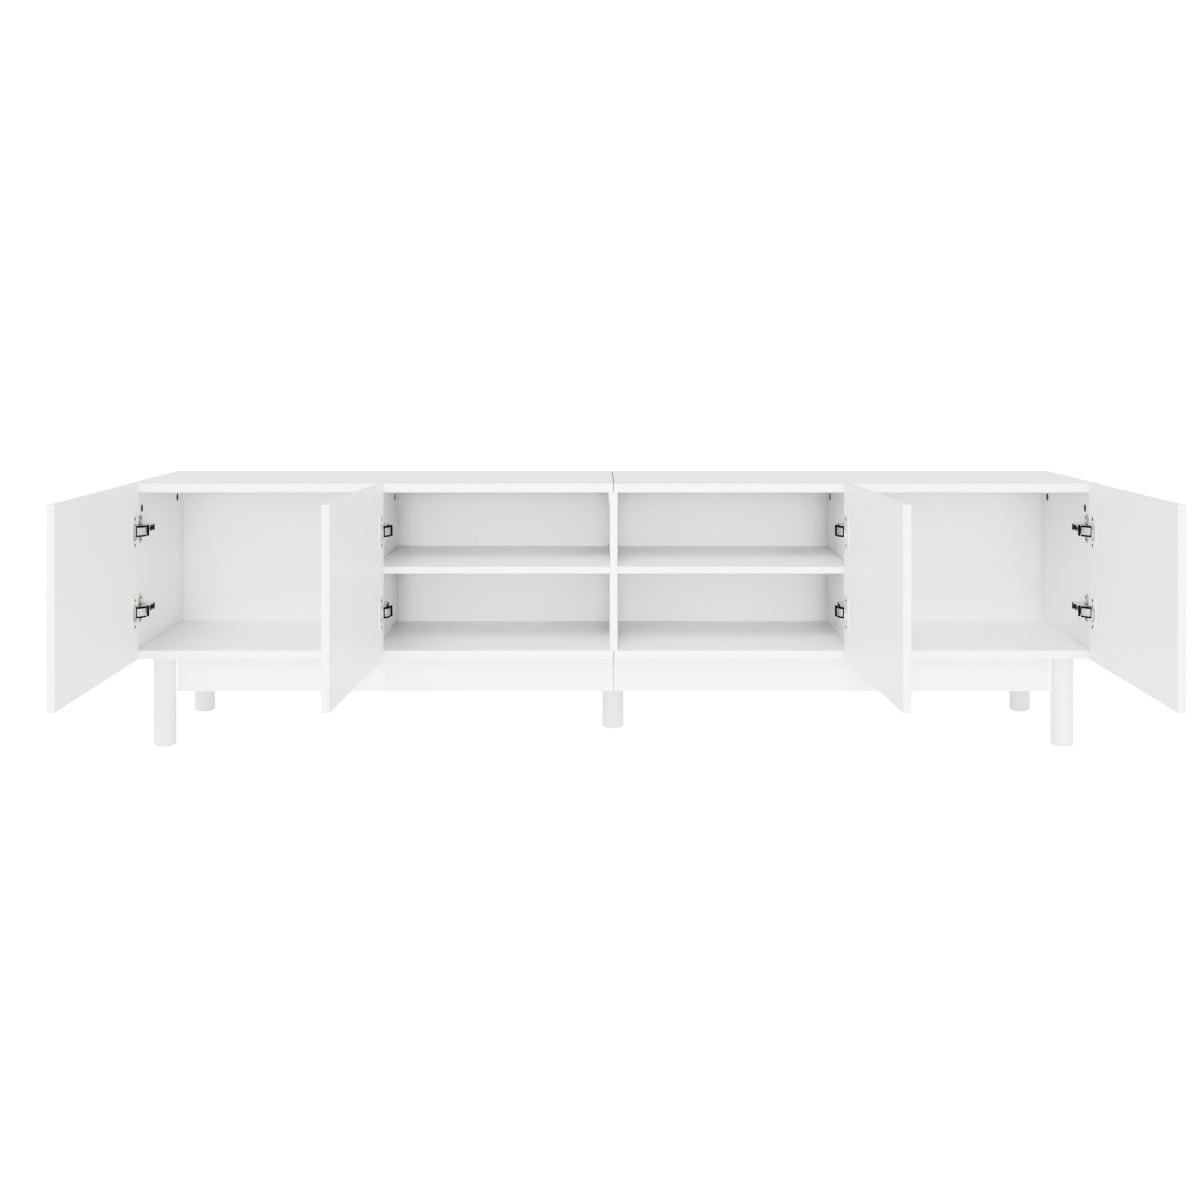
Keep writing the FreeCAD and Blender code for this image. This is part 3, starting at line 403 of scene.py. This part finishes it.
def add_hinge_links():
    """The stamped hood of each link, a dark sheet behind it as painted shade round the hood, and the arm's
    nose, rivet and slides.
    """
    for kind, (reference, face, angle) in HINGE_KINDS.items():
        pivot = (reference + LINK_PIVOT[0], FRONT + LINK_PIVOT[1])
        arm_top = reference + face + ARM_RISE
        for side in SIDES:
            body = f"levers_{kind}_{side}"
            mirror = side == "right"
            for row, level in enumerate(HINGE_HEIGHTS):
                tag = f"{kind}_{side}_{row}"

                def piece_at(name, outline, half, bevel, material):
                    return prism(f"{name}_{tag}", outline, level - half, level + half, mirror, bevel, material)

                hood = piece_at("link_hood", turned(LINK_HOOD, pivot, angle), HOOD_HALF, SHEET_BEVEL,
                                LINK_NICKEL)
                # the dark sheet behind the hood is painted shade round its rim
                shadow_liner = piece_at("link_shadow_liner", turned(LINK_SHADOW_LINER, pivot, angle), LINER_AND_RIVET_HALF, LINER_AND_RIVET_BEVEL,
                                  DARK_STEEL_AND_SHADE)
                for piece in (hood, shadow_liner):
                    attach(piece, body)
                nose = piece_at("arm_nose", shifted(ARM_NOSE, reference), NOSE_HALF, SHEET_BEVEL, LINK_NICKEL)
                rivet = piece_at("arm_rivet", shifted(rivet_outline(), reference), LINER_AND_RIVET_HALF, LINER_AND_RIVET_BEVEL,
                                 DARK_STEEL_AND_SHADE)
                slides = [piece_at(f"arm_slide_{part}", slide_outline(arm_top, near, far, thickness), half,
                                   SLIDE_BEVEL, DARK_STEEL_AND_SHADE)
                          for part, (near, far, half, thickness) in enumerate(SLIDE_SIZES)]
                for piece in [nose, rivet] + slides:
                    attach(piece, "cabinet")


# ---------------------------------------------------------------- stage, lights, camera and tones

PURE_WHITE = (1.0, 1.0, 1.0, 1.0)
FLOOR_REACH = 30.0
FLOOR_TONE = (0.95, 0.95, 0.95, 1.0)
FLOOR_ROUGHNESS = 0.9
FLOOR_SPECULAR = 0.1
FLOOR_GLOW = 0.13                    # light that the floor gives
FLOOR_LIFT = 1.3                     # more of it, for the camera only
WORLD_STRENGTH = 0.68
BACKDROP_TONE = 2.2
LIGHTS = (               # name, azimuth and elevation, strength, angle across
    ("front_fill", 0.0, 5.0, 0.93, 60.0),
    ("left_fill", -50.0, 10.0, 0.38, 60.0),
    ("right_fill", 50.0, 10.0, 0.20, 60.0),
    ("key", -12.0, 39.0, 0.74, 14.0),
    ("camera_fill", 0.0, 4.0, 0.62, 12.0),
)
CAMERA_PLACE = (-0.0253, -3.100, 0.711)
CAMERA_SENSOR = 36.0
CAMERA_LENS = 47.29
CAMERA_SHIFT_Y = -0.198
COMBINED_CURVE = 3
TONE_WHITE = 2.0
TONE_POINTS = ((0.0, 0.0), (0.06, 0.012), (0.2, 0.11), (0.4, 0.43), (0.56, 0.64), (0.75, 0.765), (1.1, 0.865),
               (1.4, 0.925), (TONE_WHITE, 1.0))


def split_view(tree, lighting, seen, surface):
    """The first shader lights the scene and the second is what the camera sees."""
    path = tree.nodes.new("ShaderNodeLightPath")
    choose = tree.nodes.new("ShaderNodeMixShader")
    tree.links.new(path.outputs["Is Camera Ray"], choose.inputs[0])
    tree.links.new(lighting, choose.inputs[1])
    tree.links.new(seen, choose.inputs[2])
    tree.links.new(choose.outputs[0], surface)


def add_floor():
    """A pale floor that the camera sees as white as the backdrop."""
    mesh = bpy.data.meshes.new("floor")
    corners = [(-FLOOR_REACH, -FLOOR_REACH, 0), (FLOOR_REACH, -FLOOR_REACH, 0),
               (FLOOR_REACH, FLOOR_REACH, 0), (-FLOOR_REACH, FLOOR_REACH, 0)]
    mesh.from_pydata(corners, [], [(0, 1, 2, 3)])
    floor = bpy.data.objects.new("floor", mesh)
    bpy.context.scene.collection.objects.link(floor)
    material, tree, shader = blank_material("floor_paint")
    shader.inputs["Base Color"].default_value = FLOOR_TONE
    shader.inputs["Roughness"].default_value = FLOOR_ROUGHNESS
    shader.inputs["Specular IOR Level"].default_value = FLOOR_SPECULAR
    shader.inputs["Emission Color"].default_value = PURE_WHITE
    shader.inputs["Emission Strength"].default_value = FLOOR_GLOW
    lift = tree.nodes.new("ShaderNodeEmission")
    lift.inputs["Strength"].default_value = FLOOR_LIFT
    lifted = tree.nodes.new("ShaderNodeAddShader")
    tree.links.new(shader.outputs["BSDF"], lifted.inputs[0])
    tree.links.new(lift.outputs["Emission"], lifted.inputs[1])
    split_view(tree, shader.outputs["BSDF"], lifted.outputs[0], tree.nodes["Material Output"].inputs["Surface"])
    mesh.materials.append(material)


def add_world():
    """Even studio white all round; the camera sees a brighter white than the one that lights."""
    world = bpy.data.worlds.new("studio")
    bpy.context.scene.world = world
    world.use_nodes = True
    tree = world.node_tree
    ambient = tree.nodes["Background"]
    backdrop = tree.nodes.new("ShaderNodeBackground")
    for background, strength in ((ambient, WORLD_STRENGTH), (backdrop, BACKDROP_TONE)):
        background.inputs["Strength"].default_value = strength
        background.inputs["Color"].default_value = PURE_WHITE
    split_view(tree, ambient.outputs[0], backdrop.outputs[0], tree.nodes["World Output"].inputs["Surface"])


def soft_sun(name, azimuth, elevation, strength, softness):
    """Parallel soft light from a direction round the object; azimuth 0 is the front."""
    data = bpy.data.lights.new(name, "SUN")
    data.energy = strength
    data.angle = math.radians(softness)
    light = bpy.data.objects.new(name, data)
    turn, lift = math.radians(azimuth), math.radians(elevation)
    source = Vector((math.sin(turn) * math.cos(lift), -math.cos(turn) * math.cos(lift), math.sin(lift)))
    light.rotation_euler = (-source).to_track_quat("-Z", "Y").to_euler()
    bpy.context.scene.collection.objects.link(light)


def add_camera():
    """A level camera in front of the stand, with its frame shifted down as in the reference view."""
    data = bpy.data.cameras.new("camera")
    data.sensor_width = CAMERA_SENSOR
    data.lens = CAMERA_LENS
    data.shift_y = CAMERA_SHIFT_Y
    camera = bpy.data.objects.new("camera", data)
    camera.location = CAMERA_PLACE
    camera.rotation_euler = (math.radians(90), 0, 0)
    bpy.context.scene.collection.objects.link(camera)
    bpy.context.scene.camera = camera


def set_tones():
    """Catalogue tones: deep darks, and bright whites pressed together below a pure white ground."""
    view = bpy.context.scene.view_settings
    view.view_transform = "Standard"
    view.use_curve_mapping = True
    mapping = view.curve_mapping
    mapping.white_level = (TONE_WHITE, TONE_WHITE, TONE_WHITE)
    points = mapping.curves[COMBINED_CURVE].points
    for light, shown in TONE_POINTS[1:-1]:       # the curve has its two end points already
        points.new(light / TONE_WHITE, shown)
    mapping.update()


paint_nodes()
add_hinge_links()
add_floor()
add_world()
for light_row in LIGHTS:
    soft_sun(*light_row)
add_camera()
set_tones()
